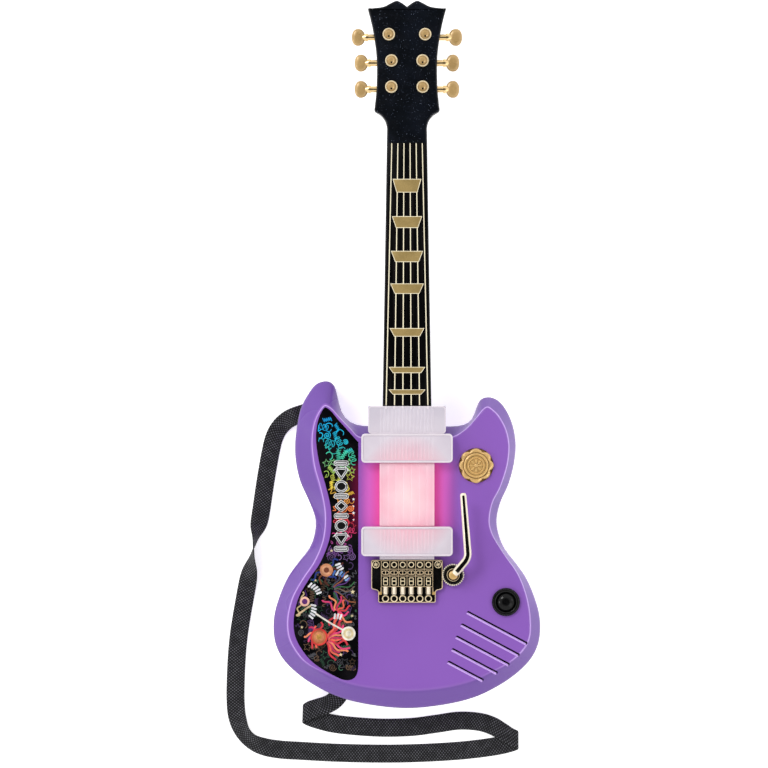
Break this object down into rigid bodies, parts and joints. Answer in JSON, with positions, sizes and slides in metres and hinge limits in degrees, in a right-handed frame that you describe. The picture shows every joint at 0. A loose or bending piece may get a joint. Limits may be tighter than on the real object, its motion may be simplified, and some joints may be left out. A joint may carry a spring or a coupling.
{
  "type": "toy electric guitar",
  "caption": "Toy electric guitar with a double-horned body, light-up pickups, whammy bar, push buttons, turning tuners and a webbing strap.",
  "frame": {"origin": "middle of the guitar's outline on the floor plane under its flat back", "axes": "+Z out of the front face, +Y from the body towards the headstock, +X to the right seen from the front"},
  "size_m": [0.2767, 0.6703, 0.0627],
  "materials": {
    "purple_plastic": "glossy moulded plastic",
    "black_print": "printed film, semi-gloss",
    "frosted_plastic": "frosted translucent plastic",
    "gold_plated": "vacuum-plated polished gold",
    "gold_paint": "matte metallic gold",
    "black_gloss": "glossy black plastic",
    "neck_plastic": "near-black plastic with fine glitter",
    "steel": "zinc-plated steel",
    "silicone": "silicone rubber",
    "board": "solder-masked circuit board",
    "led_plastic": "clear moulded lens, lit",
    "parts_plastic": "moulded electronic parts",
    "speaker_steel": "pressed steel",
    "speaker_paper": "treated paper",
    "ferrite": "ferrite",
    "battery": "printed sleeve",
    "black_plastic": "moulded plastic",
    "webbing": "woven nylon webbing",
    "wire": "PVC insulation"
  },
  "bodies": {
    "guitar": {"body_front": "purple_plastic", "body_back": "purple_plastic", "graphic_label": "black_print", "upper_light_cover": "frosted_plastic", "lower_light_cover": "frosted_plastic", "strum_pads": "silicone", "light_board": "board", "light_leds": "led_plastic", "bridge": "gold_plated", "bridge_screws": "gold_plated", "whammy_collar": "gold_plated", "whammy_spring": "steel", "whammy_switch": "parts_plastic", "seal_pad": "silicone", "seal_board": "board", "dome_bezel": "black_gloss", "dome_pad": "silicone", "dome_board": "board", "speaker_frame": "speaker_steel", "speaker_cone": "speaker_paper", "speaker_magnet": "ferrite", "main_board": "board", "board_parts": "parts_plastic", "board_screws": "steel", "batteries": "battery", "battery_springs": "steel", "battery_plates": "steel", "power_switch": "steel", "body_screws": "steel", "neck_front": "neck_plastic", "neck_back": "neck_plastic", "fretboard_sheet": "black_print", "neck_screws": "steel", "heel_screws": "steel", "tuner_posts": "gold_plated", "strap": "webbing", "strap_clamps": "steel", "strap_screws": "steel", "speaker_wires": "wire", "battery_wires": "wire", "light_wires": "wire"},
    "strum": {"strum_plate": "frosted_plastic"},
    "whammy": {"whammy_bar": "gold_plated", "whammy_shaft": "steel", "whammy_lever": "black_plastic"},
    "seal": {"seal_button": "gold_paint"},
    "dome": {"dome_button": "black_gloss"},
    "door": {"battery_door": "purple_plastic", "door_screw": "steel"},
    "slider": {"power_slider": "black_plastic"},
    "peg_1": {"tuner_peg_1": "gold_paint"},
    "peg_2": {"tuner_peg_2": "gold_paint"},
    "peg_3": {"tuner_peg_3": "gold_paint"},
    "peg_4": {"tuner_peg_4": "gold_paint"},
    "peg_5": {"tuner_peg_5": "gold_paint"},
    "peg_6": {"tuner_peg_6": "gold_paint"}
  },
  "joints": [
    {"name": "strum_rock", "type": "hinge", "parent": "guitar", "child": "strum", "pos_m": [0, -0.1218, 0.043], "axis": [0, 1, 0], "range_deg": [-4, 4], "stiffness_Nm_per_rad": 0.5},
    {"name": "whammy_turn", "type": "hinge", "parent": "guitar", "child": "whammy", "pos_m": [0.0404, -0.192, 0.044], "axis": [0, 0, 1], "range_deg": [-12, 12], "stiffness_Nm_per_rad": 0.3, "deforming": ["whammy_spring"]},
    {"name": "seal_press", "type": "slide", "parent": "guitar", "child": "seal", "axis": [0, 0, -1], "range_m": [0, 0.002], "stiffness_N_per_m": 300, "deforming": ["seal_pad"]},
    {"name": "dome_press", "type": "slide", "parent": "guitar", "child": "dome", "axis": [0, 0, -1], "range_m": [0, 0.002], "stiffness_N_per_m": 300, "deforming": ["dome_pad"]},
    {"name": "door_lift", "type": "slide", "parent": "guitar", "child": "door", "axis": [0, 0, -1], "range_m": [0, 0.03]},
    {"name": "power_slide", "type": "slide", "parent": "guitar", "child": "slider", "axis": [1, 0, 0], "range_m": [-0.004, 0.004]},
    {"name": "peg_1_turn", "type": "hinge", "parent": "guitar", "child": "peg_1", "pos_m": [-0.03, 0.2783, 0.0434], "axis": [-1, 0, 0], "continuous": true},
    {"name": "peg_2_turn", "type": "hinge", "parent": "guitar", "child": "peg_2", "pos_m": [0.03, 0.2783, 0.0434], "axis": [1, 0, 0], "continuous": true},
    {"name": "peg_3_turn", "type": "hinge", "parent": "guitar", "child": "peg_3", "pos_m": [-0.03, 0.2558, 0.0434], "axis": [-1, 0, 0], "continuous": true},
    {"name": "peg_4_turn", "type": "hinge", "parent": "guitar", "child": "peg_4", "pos_m": [0.03, 0.2558, 0.0434], "axis": [1, 0, 0], "continuous": true},
    {"name": "peg_5_turn", "type": "hinge", "parent": "guitar", "child": "peg_5", "pos_m": [-0.03, 0.2328, 0.0434], "axis": [-1, 0, 0], "continuous": true},
    {"name": "peg_6_turn", "type": "hinge", "parent": "guitar", "child": "peg_6", "pos_m": [0.03, 0.2328, 0.0434], "axis": [1, 0, 0], "continuous": true}
  ]
}
